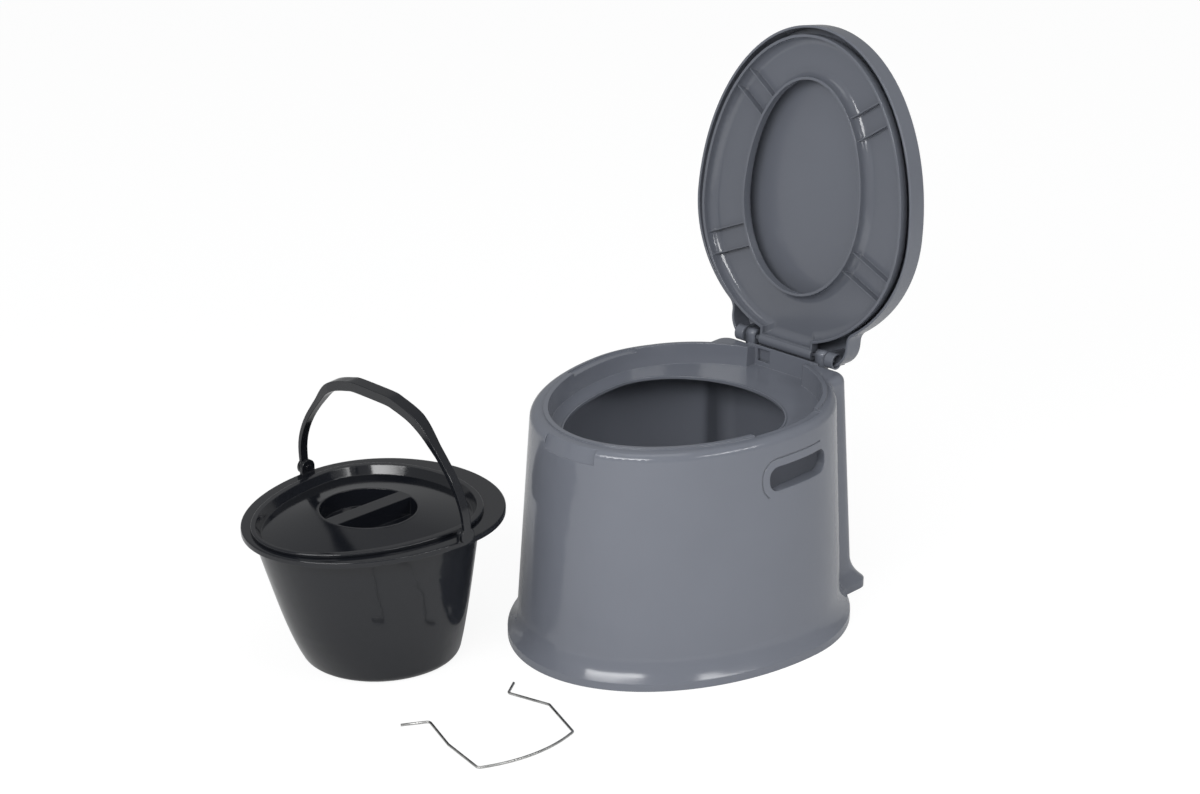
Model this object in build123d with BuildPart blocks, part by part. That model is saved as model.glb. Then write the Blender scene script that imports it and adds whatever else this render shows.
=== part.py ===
"""Portable camp toilet: housing with hinge blocks, hinged seat and lid, lift-out bucket with lid and bail, roll holder.

Frame: millimetres, +Z up, front of the toilet towards -Y.  The origin is on the floor under the
middle of the bucket opening.  The parts stand laid out on the floor: lid and seat open, the bucket
beside the housing with its lid on and its bail up, the roll holder lying flat.
"""

import os

from build123d import *

os.makedirs("parts", exist_ok=True)

# ---- housing ----------------------------------------------------------------------------------
# A plan is: half width, front and rear of the oval body, then half width and rear of the block.
WALL = 3.0                                 # moulded wall thickness
PLAN_FOOT = (203.0, 272.0, 190.0, 122.0, 216.0)
PLAN_WALL_FOOT = (190.5, 257.5, 174.0, 111.0, 199.0)
PLAN_SHOULDER = (176.5, 238.0, 168.0, 105.0, 184.0)
EGG_Y = 11.0                               # widest place of the oval body
BLOCK_START_Y = 80.0                       # the rear block grows out of the oval from here
BLOCK_CORNER = 20.0
BLOCK_FILLET = 12.0
LIP_Z = 10.0                               # top of the upright lip at the floor
FLARE_Z = 48.0                             # the flare of the foot runs into the wall here
FLARE_STEPS = 5
FLARE_CURVE = 2.3
LEDGE_Z = 273.0                            # top of the ledge that carries the bucket
SHOULDER_Z = 298.0                         # top of the rim outside its lip
RIM_Z = 300.0                              # top of the lip, where the seat rests
RIM_ROUND = 11.0
RIM_HOLLOW_Z = 290.0                       # the rim is hollow from below up to here
LIP_WIDTH = 6.0
RECESS = (155.0, 215.0, 157.0)             # inner edge of the rim
RECESS_DRAFT = 2.0                         # how much tighter the recess is at the ledge
OPENING = (124.0, 192.0, 105.0)            # bucket opening in the ledge, centred on the origin
BEAD = 2.5                                 # bead round the bucket opening

POCKET_HALF = 46.0                         # pocket between the hinge blocks
POCKET_START_Y = 120.0
POCKET_BACK_Y = 176.0
WINDOW = (20.0, 17.0, 6.0)                 # blind opening in the back of the pocket
WINDOW_AT = (32.0, 287.5)
NOTCH_HALF = 40.5                          # finger notch at the front of the rim
NOTCH_Z = 279.0
NOTCH_DEPTH = 7.0
EAR_NOTCH = (11.0, 118.0, 4.5)             # gap in the lip for the ears of the bucket
EAR_NOTCH_Y = 1.0
SLOT = (101.0, 31.0, 13.0)                 # hand slot: length, height, corner radius
SLOT_AT = (-1.5, 244.0)
SLOT_COLLAR = 2.5
SLOT_COLLAR_X = 164.0
WALL_REACH = 40.0                          # enough to pass through a side wall
TOUCH = 0.01
SLOT_FRAME = 10.0                          # from the slot to the fine line round it
SLOT_LINE = 1.8
SLOT_LINE_DEPTH = 1.2
FLARE_HOLE_RADIUS = 2.5
FLARE_HOLE_AT = (-101.0, -206.0, 25.0)

# ---- hinge ------------------------------------------------------------------------------------
HINGE_Y = 186.0
HINGE_Z = 306.5
OPEN_ANGLE = 97.0                          # how far seat and lid stand open from closed
BLOCK_X = 58.0                             # hinge blocks, let into slots in the rear wall
BLOCK_WIDTH = 14.0
BLOCK_RADIUS = 7.0
BLOCK_TOP = 3.0                            # centre of the round top above the axis
BLOCK_FOOT_Z = 280.0
BLOCK_GUSSET_Y = 181.0
# the wall between the blocks, front to rear, lower under the seat's barrel
BRIDGE = ((176.0, 280.0), (176.0, 300.0), (177.8, 300.0), (180.5, 298.2), (184.0, 296.7), (191.5, 296.7),
          (181.0, 280.0))
BLOCK_GUSSET_Z = 299.0
PIN_RADIUS = 3.0
PIN_HEAD_RADIUS = 5.0
PIN_HEAD = 1.8
PIN_GRIP = 12.0                            # length of pin inside the seat's barrel
PIN_FIT = 0.1                              # running clearance on the radius
SIDE_GAP = 1.5                             # gap between neighbours along the hinge

# ---- seat and lid, in the plane of the open seat ------------------------------------------------
# local y runs from the tip towards the hinge, local z is up when the seat is closed
COVER_Y = -174.0                           # widest place of seat and lid
LID_EGG = (173.0, 241.0, 167.0)
LID_SKIRT_Z = -1.0
LID_TOP_Z = 30.5
LID_DRAFT = 1.7                            # how much narrower the lid is at its top
LID_WALL = 3.0
LID_ROUND = 5.0
LID_NECK_HALF = 96.0
LID_NECK_START = -60.0
LID_NECK_END = 11.0
LID_NECK_CORNER = 32.0
LID_SHOULDER = 16.0
LID_NECK_CLEAR_Y = -4.0
LID_NECK_CLEAR_Z = 8.5                     # between the ears the neck's skirt stops here
LID_EAR_X = 70.0
LID_EAR_WIDTH = 4.0
LID_EAR_RADIUS = 10.5
LID_COLLAR = 9.0                           # length of the round collar outside each ear
LID_COLLAR_WALL = 1.8
SEAT_EGG = (161.0, 230.0, 165.0)
SEAT_BOTTOM_Z = -6.0
SEAT_THICK = 19.0
SEAT_ROUND = 9.0
SEAT_WALL = 3.5
CHANNEL_ROUND = 11.0
SEAT_HOLE = (92.0, 155.0, 120.0)
SEAT_HOLE_Y = -192.5
SEAT_TAB_HALF = 43.0
SEAT_TAB_START = -60.0
SEAT_TAB_END = -4.0
SEAT_BARREL = 8.0
RIB_THICK = 1.5
RIB_GAP = 30.0
RIB_HEIGHT = 11.0
RIB_PAIRS = ((90.0, -312.0, -35.0), (113.0, -117.0, 24.0))   # x, y, direction in degrees

# ---- bucket -------------------------------------------------------------------------------------
BUCKET_AT = (-201.0, -331.0)
BUCKET_TURN = -2.2                         # degrees about Z
BUCKET_WALL = 2.5
BUCKET_RIM_Z = 193.0
BUCKET_FOOT_RADIUS = 96.0
BUCKET_FOOT_Y = -17.0
BUCKET_FOOT_ROUND = 14.0
BUCKET_MOUTH = (123.0, 190.5, 103.5)
BUCKET_SWELL = 0.8                         # below 1 the wall bulges outwards
BUCKET_STEPS = 4
FLANGE = (147.5, 200.0, 140.0)
FLANGE_THICK = 3.0
FLANGE_SKIRT = 7.0
FLANGE_ROUND = 2.0
EAR_X = 145.0
EAR_Y = -8.0
EAR_WIDTH = 20.0
EAR_THICK = 5.0
EAR_HOLE = 4.0
EAR_AXIS = 7.0                             # height of the bail axis over the flange

COVER_FLANGE = (127.0, 192.0, 107.0)
COVER_GAP = 0.2                            # the cover's rim stands this far off the flange
COVER_RIM = 4.8                            # height of the cover's rim
COVER_WALL = 2.5
PLUG_GAP = 0.8                             # between the cover's plug and the bucket
PLUG_DEPTH = 11.0                          # from the rim down to the edge of the panel
PLUG_DRAFT = 4.0                           # how much the plug's inside closes towards the panel
DOME_RISE = 10.0                           # from the edge of the panel up to the edge of the well
WELL_Y = -33.0
WELL_RADIUS = 60.0
WELL_DEPTH = 22.0
WELL_DRAFT = 6.0
GRIP_BAR_WIDTH = 22.0

# the bail's outer and inner line, sideways and up from the middle of its axis
BAIL_OUTER = ((152.5, 0.0), (151.5, 30.0), (132.0, 76.0), (106.0, 110.0), (80.0, 137.0), (45.0, 149.5))
BAIL_INNER = ((148.5, 0.0), (146.5, 30.0), (126.8, 73.0), (99.9, 104.9), (73.0, 127.5), (42.0, 137.5))
BAIL_OUTER_TOP = 152.5
BAIL_INNER_TOP = 140.0
BAIL_LEAN = 4.5                            # degrees that the bail stands forward of upright
BAIL_LEG_WIDTH = 11.0
BAIL_GRIP_WIDTH = 16.0
BAIL_GRIP_HALF = 80.0
BAIL_TAPER = 30.0
BAIL_BOSS = 10.0
STUB_END = 1.0

# ---- roll holder --------------------------------------------------------------------------------
WIRE = 3.2
WIRE_AT = (118.0, -419.0)
WIRE_TURN = 169.0
WIRE_BEND = 5.0
WIRE_LEFT = ((-2.0, 70.0), (66.0, 66.0), (127.0, 52.0), (140.0, 84.5))     # along, across
WIRE_RIGHT = ((6.0, -71.0), (79.5, -88.5), (134.0, -66.0), (152.0, -86.5))
WIRE_BOW = 24.0
WIRE_BOW_RADIUS = 180.0


# ---- outlines -----------------------------------------------------------------------------------
def egg(size, centre_y=0.0, grow=0.0, mode=Mode.ADD):
    """A closed egg: half an ellipse to the front and half an ellipse to the rear."""
    half_width, front, rear = (value + grow for value in size)
    with BuildLine() as outline:
        EllipticalCenterArc((0, centre_y), half_width, front, 180, arc_size=180)
        EllipticalCenterArc((0, centre_y), half_width, rear, 0, arc_size=180)
    make_face(outline.edges(), mode=mode)


def egg_at(plane, size, centre_y=0.0, grow=0.0):
    """The egg as a section on a plane, ready for a loft."""
    with BuildSketch(plane) as section:
        egg(size, centre_y, grow)
    return section.sketch


def between(low, high, part):
    """The plan a given part of the way from one plan to another."""
    return tuple(a + (b - a) * part for a, b in zip(low, high))


def wall_plan(height):
    """The straight drafted wall between the flare and the shoulder."""
    return between(PLAN_WALL_FOOT, PLAN_SHOULDER, (height - FLARE_Z) / (SHOULDER_Z - FLARE_Z))


def flare_plan(height):
    """The foot, sweeping out in a hollow curve from the wall to the lip."""
    climb = (height - LIP_Z) / (FLARE_Z - LIP_Z)
    return between(PLAN_WALL_FOOT, PLAN_FOOT, (1 - climb) ** FLARE_CURVE)


def housing_section(height, plan, grow=0.0):
    """The oval body joined to the rear block, with the inside corners rounded."""
    block_half, block_rear = plan[3] + grow, plan[4] + grow
    with BuildSketch(Plane.XY.offset(height)) as section:
        egg(plan[:3], EGG_Y, grow)
        with Locations((0, (BLOCK_START_Y + block_rear) / 2)):
            RectangleRounded(2 * block_half, block_rear - BLOCK_START_Y, BLOCK_CORNER)
        sides = section.vertices().filter_by(lambda v: abs(abs(v.X) - block_half) < TOUCH)
        fillet(sides.group_by(Axis.Y)[0], BLOCK_FILLET)
    return section.sketch


def bucket_section(height, grow=0.0):
    """The bucket's outside at a height, between its round foot and its egg-shaped mouth."""
    climb = (height / (BUCKET_RIM_Z - FLANGE_THICK)) ** BUCKET_SWELL
    size = between((BUCKET_FOOT_RADIUS,) * 3, BUCKET_MOUTH, climb)
    return egg_at(bucket_plane.offset(height), size, BUCKET_FOOT_Y * (1 - climb), grow)


def steps_between(low, high):
    """Evenly spaced heights for the bucket's sections."""
    return [low + (high - low) * step / BUCKET_STEPS for step in range(BUCKET_STEPS + 1)]


def hand_slot(grow=0.0, mode=Mode.ADD):
    """The outline of the hand slot, in the side plane."""
    length, height, corner = SLOT
    with Locations(SLOT_AT):
        RectangleRounded(length + 2 * grow, height + 2 * grow, corner + grow, mode=mode)


# ---- housing ------------------------------------------------------------------------------------
flare_heights = [LIP_Z + (FLARE_Z - LIP_Z) * step / FLARE_STEPS for step in range(FLARE_STEPS + 1)]

# room inside the body, open at the floor, with the collar of the hand slot left standing
with BuildPart() as body_room:
    loft([housing_section(0, PLAN_FOOT, -WALL), housing_section(LIP_Z, PLAN_FOOT, -WALL)], ruled=True)
    loft([housing_section(height, flare_plan(height), -WALL) for height in flare_heights])
    loft([housing_section(height, wall_plan(height), -WALL) for height in (FLARE_Z, LEDGE_Z - WALL)],
         ruled=True)
    with BuildSketch(Plane.YZ.offset(SLOT_COLLAR_X)):
        hand_slot(SLOT_COLLAR)
    extrude(amount=WALL_REACH, mode=Mode.SUBTRACT)

# what the finger notch takes away: a block outside a leaning egg
with BuildPart() as finger_notch:
    with BuildSketch(Plane.XY.offset(NOTCH_Z)):
        with Locations((0, EGG_Y - PLAN_FOOT[1])):
            Rectangle(2 * NOTCH_HALF, PLAN_FOOT[1])
    extrude(amount=RIM_Z - NOTCH_Z)
    loft([egg_at(Plane.XY.offset(NOTCH_Z), wall_plan(NOTCH_Z)[:3], EGG_Y, -1),
          egg_at(Plane.XY.offset(RIM_Z), PLAN_SHOULDER[:3], EGG_Y, -NOTCH_DEPTH)],
         ruled=True, mode=Mode.SUBTRACT)

# hollow channel under the rim, between the outer wall and the wall of the recess
with BuildPart() as rim_room:
    loft([housing_section(height, wall_plan(height), -WALL) for height in (LEDGE_Z - WALL, RIM_HOLLOW_Z)],
         ruled=True)
    loft([egg_at(Plane.XY.offset(height), RECESS, EGG_Y, WALL) for height in (LEDGE_Z - WALL, RIM_HOLLOW_Z)],
         ruled=True, mode=Mode.SUBTRACT)
    with BuildSketch(Plane.XY.offset(LEDGE_Z - WALL)):
        with Locations((0, (POCKET_START_Y + POCKET_BACK_Y + WALL) / 2)):
            Rectangle(2 * (POCKET_HALF + WALL), POCKET_BACK_Y + WALL - POCKET_START_Y)
    extrude(amount=RIM_Z - LEDGE_Z, mode=Mode.SUBTRACT)
    with BuildSketch(Plane.XY.offset(LEDGE_Z - WALL)):
        with Locations((0, EGG_Y - PLAN_FOOT[1])):
            Rectangle(2 * (NOTCH_HALF + WALL), PLAN_FOOT[1])
    extrude(amount=RIM_Z - LEDGE_Z, mode=Mode.SUBTRACT)

# the fine line pressed into the wall in front of and above the hand slot
with BuildPart() as slot_line:
    with BuildSketch(Plane.YZ):
        hand_slot(SLOT_FRAME + SLOT_LINE)
        hand_slot(SLOT_FRAME, mode=Mode.SUBTRACT)
        with Locations(SLOT_AT):
            Rectangle(SLOT[0], SLOT[1] + 4 * SLOT_FRAME, align=(Align.MIN, Align.MAX), mode=Mode.SUBTRACT)
            Rectangle(SLOT[0], SLOT[0], align=(Align.CENTER, Align.MAX), mode=Mode.SUBTRACT)
            with Locations((SLOT[0] / 2 - SLOT_FRAME, 0)):
                Rectangle(SLOT[0], SLOT[0], align=(Align.MIN, Align.CENTER), mode=Mode.SUBTRACT)
    extrude(amount=PLAN_FOOT[0])
    loft([housing_section(height, wall_plan(height), -SLOT_LINE_DEPTH) for height in (FLARE_Z, SHOULDER_Z)],
         ruled=True, mode=Mode.SUBTRACT)

# ---- hinge blocks -------------------------------------------------------------------------------
hinge_blocks = []

for side, name in ((-1, "left"), (1, "right")):
    with BuildPart() as hinge_block:
        with BuildSketch(Plane.YZ.offset(side * BLOCK_X - BLOCK_WIDTH / 2)):
            with BuildLine():
                Polyline((HINGE_Y - BLOCK_RADIUS, HINGE_Z + BLOCK_TOP), (HINGE_Y - BLOCK_RADIUS, BLOCK_FOOT_Z),
                         (BLOCK_GUSSET_Y, BLOCK_FOOT_Z), (HINGE_Y + BLOCK_RADIUS, BLOCK_GUSSET_Z),
                         (HINGE_Y + BLOCK_RADIUS, HINGE_Z + BLOCK_TOP), close=True)
            make_face()
            with Locations((HINGE_Y, HINGE_Z + BLOCK_TOP)):
                Circle(BLOCK_RADIUS)
            with Locations((HINGE_Y, HINGE_Z)):
                Circle(PIN_RADIUS, mode=Mode.SUBTRACT)
        extrude(amount=BLOCK_WIDTH)
    hinge_block.part.label = f"hinge_block_{name}"
    export_step(hinge_block.part, f"parts/hinge_block_{name}.step")
    hinge_blocks.append(hinge_block.part)

# ---- the housing itself -------------------------------------------------------------------------
with BuildPart() as housing:
    # outer skin: lip at the floor, flare, drafted wall, rounded shoulder
    loft([housing_section(0, PLAN_FOOT), housing_section(LIP_Z, PLAN_FOOT)], ruled=True)
    loft([housing_section(height, flare_plan(height)) for height in flare_heights])
    loft([housing_section(FLARE_Z, PLAN_WALL_FOOT), housing_section(SHOULDER_Z, PLAN_SHOULDER)], ruled=True)
    fillet(housing.faces().sort_by(Axis.Z)[-1].edges(), RIM_ROUND)

    # raised lip, recess, ledge with the bucket opening and its bead
    with BuildSketch(Plane.XY.offset(SHOULDER_Z)):
        egg(RECESS, EGG_Y, LIP_WIDTH)
    extrude(amount=RIM_Z - SHOULDER_Z)
    loft([egg_at(Plane.XY.offset(LEDGE_Z), RECESS, EGG_Y, -RECESS_DRAFT),
          egg_at(Plane.XY.offset(RIM_Z), RECESS, EGG_Y)], ruled=True, mode=Mode.SUBTRACT)
    with BuildSketch(Plane.XY.offset(LEDGE_Z)):
        with Locations((0, (POCKET_START_Y + POCKET_BACK_Y) / 2)):
            Rectangle(2 * POCKET_HALF, POCKET_BACK_Y - POCKET_START_Y)
    extrude(amount=RIM_Z - LEDGE_Z, mode=Mode.SUBTRACT)
    with BuildSketch(Plane.XY.offset(LEDGE_Z)):
        egg(OPENING, grow=BEAD)
    extrude(amount=BEAD / 2)

    add(finger_notch.part, mode=Mode.SUBTRACT)
    add(body_room.part, mode=Mode.SUBTRACT)
    add(rim_room.part, mode=Mode.SUBTRACT)
    add(slot_line.part, mode=Mode.SUBTRACT)
    with BuildSketch(Plane.XY):
        egg(OPENING)
    extrude(amount=RIM_Z, mode=Mode.SUBTRACT)

    # gaps in the lip for the ears of the bucket
    notch_width, notch_length, notch_depth = EAR_NOTCH
    with BuildSketch(Plane.XY.offset(RIM_Z - notch_depth)):
        egg(RECESS, EGG_Y, notch_width)
        with Locations((0, EAR_NOTCH_Y)):
            Rectangle(2 * PLAN_FOOT[0], notch_length, mode=Mode.INTERSECT)
    extrude(amount=notch_depth, mode=Mode.SUBTRACT)

    # small hole low in the flare
    outwards = Vector(FLARE_HOLE_AT[0], FLARE_HOLE_AT[1])
    with BuildSketch(Plane(origin=FLARE_HOLE_AT, z_dir=outwards)):
        Circle(FLARE_HOLE_RADIUS)
    extrude(amount=WALL_REACH, both=True, mode=Mode.SUBTRACT)

    # hand slot in the right side
    with BuildSketch(Plane.YZ):
        hand_slot()
    extrude(amount=PLAN_FOOT[0], mode=Mode.SUBTRACT)

    # wall between the hinge blocks, and the slots the blocks are let into
    with BuildSketch(Plane.YZ.offset(-BLOCK_X)):
        with BuildLine():
            Polyline(*BRIDGE, close=True)
        make_face()
    extrude(amount=2 * BLOCK_X)
    for block in hinge_blocks:
        add(block, mode=Mode.SUBTRACT)

    # opening in the back of the pocket, beside the left block
    with BuildSketch(Plane.XZ.offset(-POCKET_BACK_Y)):
        with Locations((-WINDOW_AT[0], WINDOW_AT[1])):
            Rectangle(WINDOW[0], WINDOW[1])
    extrude(amount=-WINDOW[2], mode=Mode.SUBTRACT)

housing.part.label = "housing"
export_step(housing.part, "parts/housing.step")

# ---- hinge pins ---------------------------------------------------------------------------------
pin_start = SEAT_TAB_HALF - PIN_GRIP
pin_end = LID_EAR_X + LID_EAR_WIDTH / 2 + PIN_FIT

for side, name in ((-1, "left"), (1, "right")):
    with BuildPart() as hinge_pin:
        with BuildSketch(Plane.YZ.offset(side * pin_start)):
            with Locations((HINGE_Y, HINGE_Z)):
                Circle(PIN_RADIUS)
        extrude(amount=side * (pin_end - pin_start))
        with BuildSketch(Plane.YZ.offset(side * pin_end)):
            with Locations((HINGE_Y, HINGE_Z)):
                Circle(PIN_HEAD_RADIUS)
        extrude(amount=side * PIN_HEAD)
        fillet(hinge_pin.faces().sort_by(Axis.X)[-1 if side > 0 else 0].edges(), PIN_HEAD / 3)
    hinge_pin.part.label = f"hinge_pin_{name}"
    export_step(hinge_pin.part, f"parts/hinge_pin_{name}.step")

# ---- seat ---------------------------------------------------------------------------------------
opened_up = Vector(0, 0, 1).rotate(Axis.X, -OPEN_ANGLE)
open_plane = Plane(origin=(0, HINGE_Y, HINGE_Z), x_dir=(1, 0, 0), z_dir=opened_up)
open_up = Axis(open_plane.origin, open_plane.z_dir)
across_plane = Plane(origin=(0, HINGE_Y, HINGE_Z), x_dir=open_plane.y_dir, z_dir=(1, 0, 0))


def seat_outline(grow=0.0):
    """The seat seen from above: the egg with the straight tab that reaches the hinge."""
    egg(SEAT_EGG, COVER_Y, grow)
    tab_length = SEAT_TAB_END - SEAT_TAB_START + grow
    with Locations((0, SEAT_TAB_START + tab_length / 2)):
        Rectangle(2 * (SEAT_TAB_HALF + grow), tab_length)


seat_top_z = SEAT_BOTTOM_Z + SEAT_THICK
channel_depth = SEAT_THICK - SEAT_WALL

with BuildPart() as seat_channel:
    with BuildSketch(open_plane.offset(SEAT_BOTTOM_Z)):
        seat_outline(-SEAT_WALL)
        egg(SEAT_HOLE, SEAT_HOLE_Y, SEAT_WALL, mode=Mode.SUBTRACT)
    extrude(amount=channel_depth)
    roof = seat_channel.faces().sort_by(open_up)[-1]
    fillet(roof.edges(), CHANNEL_ROUND)
    for x, y, turn in RIB_PAIRS:
        for side in (-1, 1):
            with BuildSketch(open_plane.offset(SEAT_BOTTOM_Z + channel_depth - RIB_HEIGHT)):
                with Locations(Location((side * x, y), side * turn)):
                    with GridLocations(1, RIB_GAP, 1, 2):
                        Rectangle(SEAT_HOLE[0], RIB_THICK)
            extrude(amount=RIB_HEIGHT, mode=Mode.SUBTRACT)

with BuildPart() as seat:
    with BuildSketch(open_plane.offset(SEAT_BOTTOM_Z)):
        seat_outline()
        egg(SEAT_HOLE, SEAT_HOLE_Y, mode=Mode.SUBTRACT)
    extrude(amount=SEAT_THICK)
    fillet(seat.faces().sort_by(open_up)[-1].edges(), SEAT_ROUND)
    add(seat_channel.part, mode=Mode.SUBTRACT)
    # barrel round the hinge axis, with a web to the tab and bores for the pins
    with BuildSketch(across_plane.offset(-SEAT_TAB_HALF)):
        Circle(SEAT_BARREL)
        with Locations((SEAT_TAB_END, 0)):
            Rectangle(-2 * SEAT_TAB_END, 2 * (SEAT_BARREL - SEAT_WALL))
    extrude(amount=2 * SEAT_TAB_HALF)
    for side in (-1, 1):
        with BuildSketch(across_plane.offset(side * SEAT_TAB_HALF)):
            Circle(PIN_RADIUS + PIN_FIT)
        extrude(amount=-side * (PIN_GRIP + SIDE_GAP), mode=Mode.SUBTRACT)

seat.part.label = "seat"
export_step(seat.part, "parts/seat.step")

# ---- lid ----------------------------------------------------------------------------------------
def lid_section(height, grow=0.0):
    """The lid seen from above: the egg, drawn in to a neck at the hinge with hollow shoulders."""
    grow -= LID_DRAFT * (height - LID_SKIRT_Z) / (LID_TOP_Z - LID_SKIRT_Z)
    with BuildSketch(open_plane.offset(height)) as section:
        egg(LID_EGG, COVER_Y, grow)
        neck_length = LID_NECK_END - LID_NECK_START + grow
        with Locations((0, LID_NECK_START + neck_length / 2)):
            Rectangle(2 * (LID_NECK_HALF + grow), neck_length)
        neck = section.vertices().filter_by(lambda v: abs(abs(v.X) - LID_NECK_HALF - grow) < TOUCH)
        fillet(neck.group_by(Axis.Y)[0], LID_SHOULDER)
        fillet(section.vertices().group_by(Axis.Y)[-1], LID_NECK_CORNER + grow)
    return section.sketch


with BuildPart() as lid:
    loft([lid_section(height) for height in (LID_SKIRT_Z, LID_TOP_Z)], ruled=True)
    fillet(lid.faces().sort_by(open_up)[-1].edges(), LID_ROUND)
    loft([lid_section(height, -LID_WALL) for height in (LID_SKIRT_Z, LID_TOP_Z - LID_WALL)],
         ruled=True, mode=Mode.SUBTRACT)
    # between the ears the neck's skirt is cut back so that it swings clear of the blocks
    with BuildSketch(across_plane):
        with Locations((LID_NECK_CLEAR_Y, LID_NECK_CLEAR_Z)):
            Rectangle(2 * LID_NECK_END, 2 * LID_NECK_END, align=(Align.MIN, Align.MAX))
    extrude(amount=LID_EAR_X - LID_EAR_WIDTH / 2, both=True, mode=Mode.SUBTRACT)
    # ears that carry the lid on the pins, outside the blocks
    for side in (-1, 1):
        with BuildSketch(across_plane.offset(side * LID_EAR_X - LID_EAR_WIDTH / 2)):
            Circle(LID_EAR_RADIUS)
            Rectangle(2 * LID_EAR_RADIUS, LID_TOP_Z - LID_WALL / 2, align=(Align.CENTER, Align.MIN))
            Circle(PIN_RADIUS + PIN_FIT, mode=Mode.SUBTRACT)
        extrude(amount=LID_EAR_WIDTH)
        with BuildSketch(across_plane.offset(side * (LID_EAR_X + LID_EAR_WIDTH / 2))):
            Circle(LID_EAR_RADIUS)
            Circle(LID_EAR_RADIUS - LID_COLLAR_WALL, mode=Mode.SUBTRACT)
        extrude(amount=side * LID_COLLAR)

lid.part.label = "lid"
export_step(lid.part, "parts/lid.step")

# ---- bucket -------------------------------------------------------------------------------------
bucket_plane = Plane(origin=(*BUCKET_AT, 0), x_dir=Vector(1, 0, 0).rotate(Axis.Z, BUCKET_TURN), z_dir=(0, 0, 1))
flange_z = BUCKET_RIM_Z - FLANGE_THICK
axis_z = BUCKET_RIM_Z + EAR_AXIS
ear_plane = Plane(origin=bucket_plane.from_local_coords(Vector(0, EAR_Y, axis_z)),
                  x_dir=bucket_plane.y_dir, z_dir=bucket_plane.x_dir)

# the inside of the bucket
with BuildPart() as bucket_room:
    loft([bucket_section(height, -BUCKET_WALL) for height in steps_between(BUCKET_WALL, BUCKET_RIM_Z)])
    fillet(bucket_room.faces().sort_by(Axis.Z)[0].edges(), BUCKET_FOOT_ROUND - BUCKET_WALL)

with BuildPart() as bucket:
    loft([bucket_section(height) for height in steps_between(0, flange_z)])
    fillet(bucket.faces().sort_by(Axis.Z)[0].edges(), BUCKET_FOOT_ROUND)
    with BuildSketch(bucket_plane.offset(BUCKET_RIM_Z - FLANGE_SKIRT)):
        egg(FLANGE)
    extrude(amount=FLANGE_SKIRT)
    fillet(bucket.faces().sort_by(Axis.Z)[-1].edges(), FLANGE_ROUND)
    # hollow under the flange, between its turned-down edge and the body
    with BuildSketch(bucket_plane.offset(BUCKET_RIM_Z - FLANGE_SKIRT)):
        egg(FLANGE, grow=-BUCKET_WALL)
        egg(BUCKET_MOUTH, mode=Mode.SUBTRACT)
    extrude(amount=FLANGE_SKIRT - FLANGE_THICK, mode=Mode.SUBTRACT)
    add(bucket_room.part, mode=Mode.SUBTRACT)
    # ears for the bail
    for side in (-1, 1):
        with BuildSketch(ear_plane.offset(side * EAR_X - EAR_THICK / 2)):
            Circle(EAR_WIDTH / 2)
            Rectangle(EAR_WIDTH, EAR_AXIS + FLANGE_THICK / 2, align=(Align.CENTER, Align.MAX))
            Circle(EAR_HOLE, mode=Mode.SUBTRACT)
        extrude(amount=EAR_THICK)

bucket.part.label = "bucket"
export_step(bucket.part, "parts/bucket.step")

# ---- bucket lid ---------------------------------------------------------------------------------
cover_base_z = BUCKET_RIM_Z + COVER_GAP
cover_top_z = cover_base_z + COVER_RIM
panel_z = cover_top_z - PLUG_DEPTH
dome_z = panel_z + DOME_RISE
well_z = dome_z - WELL_DEPTH
plug_grow = -BUCKET_WALL - PLUG_GAP
plug_inside = plug_grow - COVER_WALL


def well_ring(height, grow=0.0):
    """The round edge of the well as a section."""
    return egg_at(bucket_plane.offset(height), (WELL_RADIUS,) * 3, WELL_Y, grow)


# the space under the panel, which climbs from the plug to the well
with BuildPart() as under_panel:
    loft([bucket_section(panel_z - COVER_WALL, plug_inside - PLUG_DRAFT), well_ring(dome_z - COVER_WALL)],
         ruled=True)

with BuildPart() as bucket_lid:
    with BuildSketch(bucket_plane.offset(cover_base_z)):
        egg(COVER_FLANGE)
    extrude(amount=COVER_RIM)
    fillet(bucket_lid.faces().sort_by(Axis.Z)[-1].edges(), FLANGE_ROUND)
    # the rim is hollow from below
    with BuildSketch(bucket_plane.offset(cover_base_z)):
        egg(COVER_FLANGE, grow=-COVER_WALL)
    extrude(amount=COVER_RIM - COVER_WALL, mode=Mode.SUBTRACT)
    # plug, then the sloping panel
    loft([bucket_section(height, plug_grow) for height in (panel_z - COVER_WALL, cover_top_z)], ruled=True)
    loft([bucket_section(panel_z, plug_inside - PLUG_DRAFT), bucket_section(cover_top_z, plug_inside)],
         ruled=True, mode=Mode.SUBTRACT)
    loft([bucket_section(panel_z, plug_inside - PLUG_DRAFT), well_ring(dome_z)], ruled=True)
    add(under_panel.part, mode=Mode.SUBTRACT)
    # the round well and the grip bar across it, level with the top of the panel
    with BuildSketch(bucket_plane.offset(dome_z)):
        with Locations((0, WELL_Y)):
            Circle(WELL_RADIUS + COVER_WALL)
    extrude(amount=-WELL_DEPTH - COVER_WALL, taper=WELL_DRAFT)
    with BuildSketch(bucket_plane.offset(dome_z)):
        with Locations((0, WELL_Y)):
            Circle(WELL_RADIUS)
    extrude(amount=-WELL_DEPTH, taper=WELL_DRAFT, mode=Mode.SUBTRACT)
    with BuildSketch(bucket_plane.offset(dome_z)):
        with Locations((0, WELL_Y)):
            Circle(WELL_RADIUS)
            Rectangle(GRIP_BAR_WIDTH, 3 * WELL_RADIUS, mode=Mode.INTERSECT)
    extrude(amount=-WELL_DEPTH, taper=-WELL_DRAFT)

bucket_lid.part.label = "bucket_lid"
export_step(bucket_lid.part, "parts/bucket_lid.step")

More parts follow.
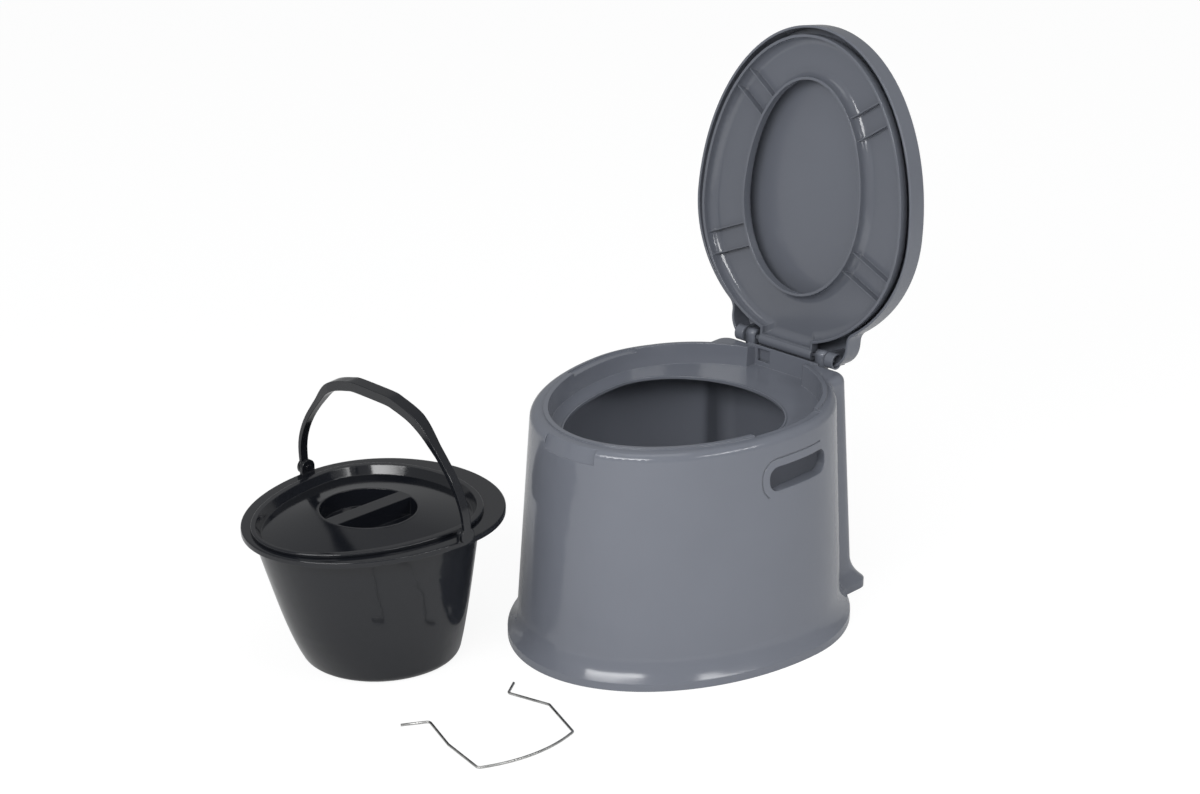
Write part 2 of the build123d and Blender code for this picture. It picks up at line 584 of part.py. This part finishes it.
# ---- bail ---------------------------------------------------------------------------------------
upright_plane = Plane(origin=ear_plane.origin, x_dir=bucket_plane.x_dir, z_dir=-bucket_plane.y_dir)
bail_plane = upright_plane.rotated((BAIL_LEAN, 0, 0))
bail_foot = BAIL_OUTER[0][0]

with BuildPart() as bucket_handle:
    with BuildSketch(bail_plane.offset(-BAIL_GRIP_WIDTH)):
        with BuildLine() as arch:
            outer = Spline([*BAIL_OUTER, (0, BAIL_OUTER_TOP)], tangents=((0, 1), (-1, 0)))
            inner = Spline([*BAIL_INNER, (0, BAIL_INNER_TOP)], tangents=((0, 1), (-1, 0)))
            Line(outer @ 0, inner @ 0)
            mirror(about=Plane.YZ)
        make_face()
    extrude(amount=2 * BAIL_GRIP_WIDTH)
    # seen from above the legs are narrower than the grip
    with BuildSketch(Plane(bail_plane.origin, x_dir=bail_plane.x_dir, z_dir=bail_plane.y_dir)):
        with BuildLine() as waist:
            reach = bail_foot + BAIL_LEG_WIDTH
            half = [(reach, BAIL_LEG_WIDTH / 2), (BAIL_GRIP_HALF + BAIL_TAPER, BAIL_LEG_WIDTH / 2),
                    (BAIL_GRIP_HALF, BAIL_GRIP_WIDTH / 2)]
            Polyline(half + [(-x, y) for x, y in reversed(half)] + [(-x, -y) for x, y in half]
                     + [(x, -y) for x, y in reversed(half)], close=True)
        make_face()
    extrude(amount=2 * BAIL_OUTER_TOP, both=True, mode=Mode.INTERSECT)
    # round bosses and the stubs that turn in the ears
    for side in (-1, 1):
        with BuildSketch(ear_plane.offset(side * bail_foot)):
            Circle(BAIL_BOSS)
        extrude(amount=-side * (bail_foot - BAIL_INNER[0][0]))
        with BuildSketch(ear_plane.offset(side * bail_foot)):
            Circle(EAR_HOLE - PIN_FIT)
        extrude(amount=-side * (bail_foot - EAR_X + EAR_THICK / 2 + STUB_END))

bucket_handle.part.label = "bucket_handle"
export_step(bucket_handle.part, "parts/bucket_handle.step")

# ---- roll holder --------------------------------------------------------------------------------
wire_plane = Plane(origin=(*WIRE_AT, WIRE / 2), x_dir=Vector(1, 0, 0).rotate(Axis.Z, WIRE_TURN), z_dir=(0, 0, 1))

with BuildPart() as roll_holder:
    with BuildLine(wire_plane) as wire_path:
        bends = [WIRE_BEND] * (len(WIRE_LEFT) - 1)
        FilletPolyline(list(reversed(WIRE_RIGHT)) + [(-WIRE_BOW, 0)] + list(WIRE_LEFT),
                       radius=bends + [WIRE_BOW_RADIUS] + bends)
    with BuildSketch(Plane(wire_path.line @ 0, z_dir=wire_path.line % 0)):
        Circle(WIRE / 2)
    sweep(path=wire_path.line)

roll_holder.part.label = "roll_holder"
export_step(roll_holder.part, "parts/roll_holder.step")
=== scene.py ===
"""Looks for the portable camp toilet: moulded plastics, zinc-plated wire, pale studio."""

import math

import bpy
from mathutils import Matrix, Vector

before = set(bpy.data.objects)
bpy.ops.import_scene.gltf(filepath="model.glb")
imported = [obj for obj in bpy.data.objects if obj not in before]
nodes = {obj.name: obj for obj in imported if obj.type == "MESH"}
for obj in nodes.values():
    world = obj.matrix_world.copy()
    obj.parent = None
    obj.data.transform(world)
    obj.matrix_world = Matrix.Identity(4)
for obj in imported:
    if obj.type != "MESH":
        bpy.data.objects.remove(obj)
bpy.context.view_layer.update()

# ---- camera ---------------------------------------------------------------------------------------
CAMERA_AT = (2.5009, -2.8507, 1.811)
CAMERA_TO = (-0.01035, -0.1558, 0.3339)
SENSOR_MM = 36.0
LENS_MM = 98.445

# ---- colours, linear ------------------------------------------------------------------------------
GREY = (0.150, 0.161, 0.190)
# the worn colour lightens specks and sharp edges: wear, and on the edges partly a painted highlight
GREY_WORN_AND_HIGHLIGHT = (0.21, 0.225, 0.255)
GREY_DUST = (0.20, 0.205, 0.21)
# painted shade: the seat and lid are the housing's grey, darkened by these factors to stand in for the
# deeper shade they sit in
SEAT_PAINTED_SHADE = 0.84
LID_PAINTED_SHADE = 0.92
PIN_SHADE = 0.90
BLACK = (0.0072, 0.0082, 0.0110)
BLACK_WORN_AND_HIGHLIGHT = (0.030, 0.031, 0.034)
BLACK_DUST = (0.035, 0.035, 0.035)
ZINC = (0.50, 0.50, 0.49)
ZINC_DULL = (0.30, 0.30, 0.295)
PAPER_LOW = (0.90, 0.90, 0.90)
PAPER_HIGH = (0.92, 0.92, 0.92)
GLOW_COLOUR = (1.0, 1.0, 1.0, 1.0)
AIR_COLOUR = (0.98, 0.99, 1.0, 1.0)

# ---- moulded plastic ------------------------------------------------------------------------------
# a grain is the scale, detail and roughness of a noise; a range is a noise's low and high value,
# and an amount is what that range turns into
PLASTIC_IOR = 1.49
WHOLE = (0.0, 1.0)
CLOUD_GRAIN = (5.0, 3.0, 0.55)
CLOUD_RANGE = (0.35, 0.65)
CLOUD_SHADES = (0.975, 1.025)
FLOW_GRAIN = (26.0, 4.0, 0.6)
SPECK_GRAIN = (520.0, 2.0, 0.55)
SPECK_RANGE = (0.62, 0.80)
SPECK_AMOUNT = (0.0, 0.04)
EDGE_RADIUS = 0.0016                 # how far the shading rounds a sharp edge
EDGE_SAMPLES = 6
EDGE_RANGE = (0.985, 0.80)           # cosine between the rounded and the true normal
# sharp edges lightened: partly rubbed wear, partly a painted highlight
RUB_AND_HIGHLIGHT_RANGE = (0.42, 0.68)
RUB_AND_HIGHLIGHT_AMOUNT = (0.15, 0.55)
RUB_ROUGHENS = 0.08
CORNER_REACH = 0.010
CORNER_SAMPLES = 4
CORNER_RANGE = (0.50, 0.15)
CORNER_AMOUNT = (0.0, 0.12)
DUST_RANGE = (0.40, 0.62)
DUST_AMOUNT = (0.3, 1.0)
SCRATCH_STRETCH = (9.0, 160.0, 60.0)
SCRATCH_TURN = (0.3, 0.5, 0.9)
SCRATCH_GRAIN = (3.0, 3.0, 0.7)
SCRATCH_RANGE = (0.66, 0.82)
SCRATCH_ROUGHENS = (0.0, 0.04)
GLOSS_RANGE = (0.3, 0.7)
GLOSS_SPREAD = (0.90, 1.12)
WAVE_GRAIN = (14.0, 1.0, 0.55)
WAVE_HEIGHT = 0.0010
FINE_GRAIN = (1900.0, 2.0, 0.55)
FINE_HEIGHT = 0.00006

# ---- zinc-plated wire -----------------------------------------------------------------------------
SPANGLE_SCALE = 380.0
SPANGLE_RANGE = (0.0, 0.6)
SPANGLE_AMOUNT = (0.0, 0.3)
ZINC_CLOUD_GRAIN = (60.0, 4.0, 0.55)
ZINC_CLOUD_AMOUNT = (0.0, 0.7)
ZINC_GLOSS = (0.24, 0.42)
DRAWN_GRAIN = (1500.0, 2.0, 0.55)
DRAWN_STRENGTH = 0.25
DRAWN_HEIGHT = 0.0001

# ---- edges of the meshes --------------------------------------------------------------------------
WELD_REACH = 0.00002
BEVEL_SEGMENTS = 2
BEVEL_FROM = math.radians(32.0)
EDGE_ROUND = {"housing": 0.0008, "seat": 0.0006, "lid": 0.0007, "bucket": 0.0007,
              "bucket_lid": 0.0007, "bucket_handle": 0.0009}

# ---- studio ---------------------------------------------------------------------------------------
FLOOR_HALF = 40.0
PAPER_GRAIN = (2.0, 3.0, 0.55)
PAPER_ROUGH = 0.8
PAPER_WHITE = 1.07
PAPER_GLOW = 0.85                    # how much of the floor's own white the camera sees
FRONT_WAY = (0.60, -0.75, 0.28)
AIR_RANGE = (-0.8, 0.9)
AIR_LEVELS = (0.34, 0.48)            # at the back and at the front of the studio
LIGHTS_TO = Vector((-0.02, -0.12, 0.25))
# each: bearing and climb in degrees, distance, width and height in metres, power in watts
SOFT_BOXES = {
    "left_box": (-70.0, 33.0, 3.2, 2.2, 0.8, 60.0),
    "right_box": (7.0, 33.0, 3.2, 1.7, 0.45, 22.0),
    "top_box": (-40.0, 84.0, 3.0, 1.6, 1.6, 10.0),
}


class Tree:
    """A short way to build a node tree, of a new material or of the world."""

    def __init__(self, owner):
        owner.use_nodes = True
        self.tree = owner.node_tree
        self.tree.nodes.clear()

    def node(self, kind, links=None, **values):
        """A node of this kind, with its sockets linked or set, and its own settings."""
        made = self.tree.nodes.new(kind)
        for key, value in values.items():
            setattr(made, key, value)
        for socket, value in (links or {}).items():
            if isinstance(value, bpy.types.NodeSocket):
                self.tree.links.new(value, made.inputs[socket])
            else:
                made.inputs[socket].default_value = value
        return made

    def noise(self, place, grain):
        scale, detail, rough = grain
        made = self.node("ShaderNodeTexNoise", {"Vector": place, "Scale": scale, "Detail": detail,
                                                "Roughness": rough})
        return made.outputs["Fac"]

    def remap(self, value, source, target):
        made = self.node("ShaderNodeMapRange", {"Value": value, "From Min": source[0],
                                                "From Max": source[1], "To Min": target[0],
                                                "To Max": target[1]})
        return made.outputs["Result"]

    def mix(self, factor, first, second):
        """Two colours mixed; the sockets 0, 6 and 7 are the factor and the colours."""
        pair = [c if isinstance(c, bpy.types.NodeSocket) else (*c, 1.0) for c in (first, second)]
        made = self.node("ShaderNodeMix", {0: factor, 6: pair[0], 7: pair[1]}, data_type="RGBA")
        return made.outputs[2]

    def maths(self, operation, first, second):
        return self.node("ShaderNodeMath", {0: first, 1: second}, operation=operation).outputs[0]

    def bump(self, height, strength, distance, **normal):
        made = self.node("ShaderNodeBump", {"Height": height, "Strength": strength,
                                            "Distance": distance, **normal})
        return made.outputs["Normal"]


def shade(colour, factor):
    return tuple(c * factor for c in colour)


def soft_edges(tree):
    """The normal rounded over sharp edges, and a mask that is 1 on those edges."""
    geometry = tree.node("ShaderNodeNewGeometry")
    bevel = tree.node("ShaderNodeBevel", {"Radius": EDGE_RADIUS}, samples=EDGE_SAMPLES)
    dot = tree.node("ShaderNodeVectorMath", {0: bevel.outputs["Normal"], 1: geometry.outputs["Normal"]},
                    operation="DOT_PRODUCT")
    return bevel.outputs["Normal"], tree.remap(dot.outputs["Value"], EDGE_RANGE, WHOLE)


def moulded(name, base, worn_and_highlight, dust, rough, grain, wave):
    """Moulded plastic: faint cloudiness, uneven gloss, edges lightened as wear and painted highlight, dust
    in corners, fine grain.
    """
    material = bpy.data.materials.new(name)
    tree = Tree(material)
    place = tree.node("ShaderNodeTexCoord").outputs["Object"]
    flow = tree.noise(place, FLOW_GRAIN)
    darker, lighter = (shade(base, factor) for factor in CLOUD_SHADES)
    colour = tree.mix(tree.remap(tree.noise(place, CLOUD_GRAIN), CLOUD_RANGE, WHOLE), darker, lighter)
    specks = tree.remap(tree.noise(place, SPECK_GRAIN), SPECK_RANGE, SPECK_AMOUNT)
    colour = tree.mix(specks, colour, worn_and_highlight)
    soft, edges = soft_edges(tree)
    # painted highlight and wear: sharp edges lightened towards the worn colour
    rubbed_and_highlit = tree.maths("MULTIPLY", edges, tree.remap(flow, RUB_AND_HIGHLIGHT_RANGE, RUB_AND_HIGHLIGHT_AMOUNT))
    colour = tree.mix(rubbed_and_highlit, colour, worn_and_highlight)
    open_air = tree.node("ShaderNodeAmbientOcclusion", {"Distance": CORNER_REACH},
                         samples=CORNER_SAMPLES).outputs["AO"]
    corners = tree.maths("MULTIPLY", tree.remap(open_air, CORNER_RANGE, CORNER_AMOUNT),
                         tree.remap(flow, DUST_RANGE, DUST_AMOUNT))
    colour = tree.mix(corners, colour, dust)
    stretched = tree.node("ShaderNodeMapping", {"Vector": place, "Scale": SCRATCH_STRETCH,
                                                "Rotation": SCRATCH_TURN}).outputs["Vector"]
    scratches = tree.remap(tree.noise(stretched, SCRATCH_GRAIN), SCRATCH_RANGE, SCRATCH_ROUGHENS)
    gloss = tree.remap(flow, GLOSS_RANGE, shade(GLOSS_SPREAD, rough))
    gloss = tree.maths("ADD", gloss, scratches)
    gloss = tree.maths("ADD", gloss, tree.maths("MULTIPLY", rubbed_and_highlit, RUB_ROUGHENS))
    wavy = tree.bump(tree.noise(place, WAVE_GRAIN), wave, WAVE_HEIGHT, Normal=soft)
    grained = tree.bump(tree.noise(place, FINE_GRAIN), grain, FINE_HEIGHT, Normal=wavy)
    surface = tree.node("ShaderNodeBsdfPrincipled", {"Base Color": colour, "Roughness": gloss,
                                                     "Normal": grained, "IOR": PLASTIC_IOR})
    tree.node("ShaderNodeOutputMaterial", {"Surface": surface.outputs["BSDF"]})
    return material


def zinc_wire(name):
    """Zinc-plated steel wire: fine drawing marks, dull spots, brighter places between them."""
    material = bpy.data.materials.new(name)
    tree = Tree(material)
    place = tree.node("ShaderNodeTexCoord").outputs["Object"]
    spangle = tree.node("ShaderNodeTexVoronoi", {"Vector": place, "Scale": SPANGLE_SCALE})
    cloud = tree.noise(place, ZINC_CLOUD_GRAIN)
    blend = tree.maths("ADD", tree.remap(cloud, CLOUD_RANGE, ZINC_CLOUD_AMOUNT),
                       tree.remap(spangle.outputs["Distance"], SPANGLE_RANGE, SPANGLE_AMOUNT))
    drawn = tree.bump(tree.noise(place, DRAWN_GRAIN), DRAWN_STRENGTH, DRAWN_HEIGHT)
    surface = tree.node("ShaderNodeBsdfPrincipled", {
        "Base Color": tree.mix(blend, ZINC_DULL, ZINC), "Metallic": 1.0,
        "Roughness": tree.remap(cloud, GLOSS_RANGE, ZINC_GLOSS), "Normal": drawn})
    tree.node("ShaderNodeOutputMaterial", {"Surface": surface.outputs["BSDF"]})
    return material


def dress(obj, material, edge):
    """The CAD mesh keeps its shape: its points are welded, its edges softened, its shading smoothed."""
    obj.data.materials.clear()
    obj.data.materials.append(material)
    obj.data.polygons.foreach_set("use_smooth", [True] * len(obj.data.polygons))
    weld = obj.modifiers.new("weld", "WELD")
    weld.merge_threshold = WELD_REACH
    if edge:
        bevel = obj.modifiers.new("soft_edges", "BEVEL")
        bevel.width = edge
        bevel.segments = BEVEL_SEGMENTS
        bevel.limit_method = "ANGLE"
        bevel.angle_limit = BEVEL_FROM
        bevel.harden_normals = False
        bevel.use_clamp_overlap = True
        normals = obj.modifiers.new("even_shading", "WEIGHTED_NORMAL")
        normals.keep_sharp = True


def soft_box(name, turn, climb, distance, width, height, power):
    """A rectangular softbox at a bearing and a climb that looks at the middle of the objects."""
    bearing, slope = math.radians(turn), math.radians(climb)
    level = math.cos(slope)
    at = LIGHTS_TO + distance * Vector((level * math.cos(bearing), level * math.sin(bearing),
                                        math.sin(slope)))
    data = bpy.data.lights.new(name, "AREA")
    data.shape = "RECTANGLE"
    data.size = width
    data.size_y = height
    data.energy = power
    light = bpy.data.objects.new(name, data)
    light.location = at
    light.rotation_euler = (LIGHTS_TO - at).to_track_quat("-Z", "Y").to_euler()
    bpy.context.scene.collection.objects.link(light)


# ---- materials on the nodes -----------------------------------------------------------------------
# after the colours: roughness, strength of the fine grain, strength of the waves
grey_plastic = moulded("grey_moulded", GREY, GREY_WORN_AND_HIGHLIGHT, GREY_DUST, 0.14, 0.12, 0.08)
# painted shade: the seat and lid materials are darker copies of the housing grey
seat_plastic_painted_shade = moulded("grey_seat_painted_shade", shade(GREY, SEAT_PAINTED_SHADE), GREY_WORN_AND_HIGHLIGHT, GREY_DUST, 0.12, 0.12, 0.05)
lid_plastic_painted_shade = moulded("grey_lid_painted_shade", shade(GREY, LID_PAINTED_SHADE), GREY_WORN_AND_HIGHLIGHT, GREY_DUST, 0.20, 0.12, 0.08)
pin_plastic = moulded("grey_pin", shade(GREY, PIN_SHADE), GREY_WORN_AND_HIGHLIGHT, GREY_DUST, 0.25, 0.15, 0.0)
black_plastic = moulded("black_moulded", BLACK, BLACK_WORN_AND_HIGHLIGHT, BLACK_DUST, 0.11, 0.10, 0.08)
wire_steel = zinc_wire("zinc_plated_wire")

FINISH = {
    "housing": grey_plastic,
    "seat": seat_plastic_painted_shade,
    "lid": lid_plastic_painted_shade,
    "hinge_block_left": grey_plastic,
    "hinge_block_right": grey_plastic,
    "hinge_pin_left": pin_plastic,
    "hinge_pin_right": pin_plastic,
    "bucket": black_plastic,
    "bucket_lid": black_plastic,
    "bucket_handle": black_plastic,
    "roll_holder": wire_steel,
}
for name, obj in nodes.items():
    dress(obj, FINISH[name], EDGE_ROUND.get(name, 0.0))

# ---- floor ----------------------------------------------------------------------------------------
floor_mesh = bpy.data.meshes.new("studio_floor")
corners = [(x * FLOOR_HALF, y * FLOOR_HALF, 0.0) for x, y in ((-1, -1), (1, -1), (1, 1), (-1, 1))]
floor_mesh.from_pydata(corners, [], [(0, 1, 2, 3)])
floor = bpy.data.objects.new("studio_floor", floor_mesh)
bpy.context.scene.collection.objects.link(floor)
paper_material = bpy.data.materials.new("studio_paper")
paper = Tree(paper_material)
paper_place = paper.node("ShaderNodeTexCoord").outputs["Object"]
paper_tone = paper.mix(paper.noise(paper_place, PAPER_GRAIN), PAPER_LOW, PAPER_HIGH)
paper_surface = paper.node("ShaderNodeBsdfPrincipled", {"Base Color": paper_tone,
                                                        "Roughness": PAPER_ROUGH})
paper_glow = paper.node("ShaderNodeEmission", {"Color": GLOW_COLOUR, "Strength": PAPER_WHITE})
seen = paper.node("ShaderNodeLightPath").outputs["Is Camera Ray"]
paper_mix = paper.node("ShaderNodeMixShader", {0: paper.maths("MULTIPLY", seen, PAPER_GLOW),
                                               1: paper_surface.outputs["BSDF"],
                                               2: paper_glow.outputs["Emission"]})
paper.node("ShaderNodeOutputMaterial", {"Surface": paper_mix.outputs["Shader"]})
floor_mesh.materials.append(paper_material)

# ---- air: white to the camera and, for the objects, darker towards the back of the studio ---------
world = bpy.data.worlds.new("studio_air")
bpy.context.scene.world = world
air = Tree(world)
way = air.node("ShaderNodeTexCoord").outputs["Generated"]
towards = air.node("ShaderNodeVectorMath", {0: way, 1: FRONT_WAY}, operation="DOT_PRODUCT").outputs["Value"]
air_seen = air.node("ShaderNodeLightPath").outputs["Is Camera Ray"]
level = air.maths("MAXIMUM", air.remap(towards, AIR_RANGE, AIR_LEVELS), air_seen)
air_light = air.node("ShaderNodeBackground", {"Color": AIR_COLOUR, "Strength": level})
air.node("ShaderNodeOutputWorld", {"Surface": air_light.outputs["Background"]})

for name, box in SOFT_BOXES.items():
    soft_box(name, *box)

camera_data = bpy.data.cameras.new("photo_camera")
camera_data.sensor_width = SENSOR_MM
camera_data.lens = LENS_MM
camera = bpy.data.objects.new("photo_camera", camera_data)
camera.location = CAMERA_AT
camera.rotation_euler = (Vector(CAMERA_TO) - Vector(CAMERA_AT)).to_track_quat("-Z", "Y").to_euler()
bpy.context.scene.collection.objects.link(camera)
bpy.context.scene.camera = camera
bpy.context.scene.view_settings.view_transform = "Standard"
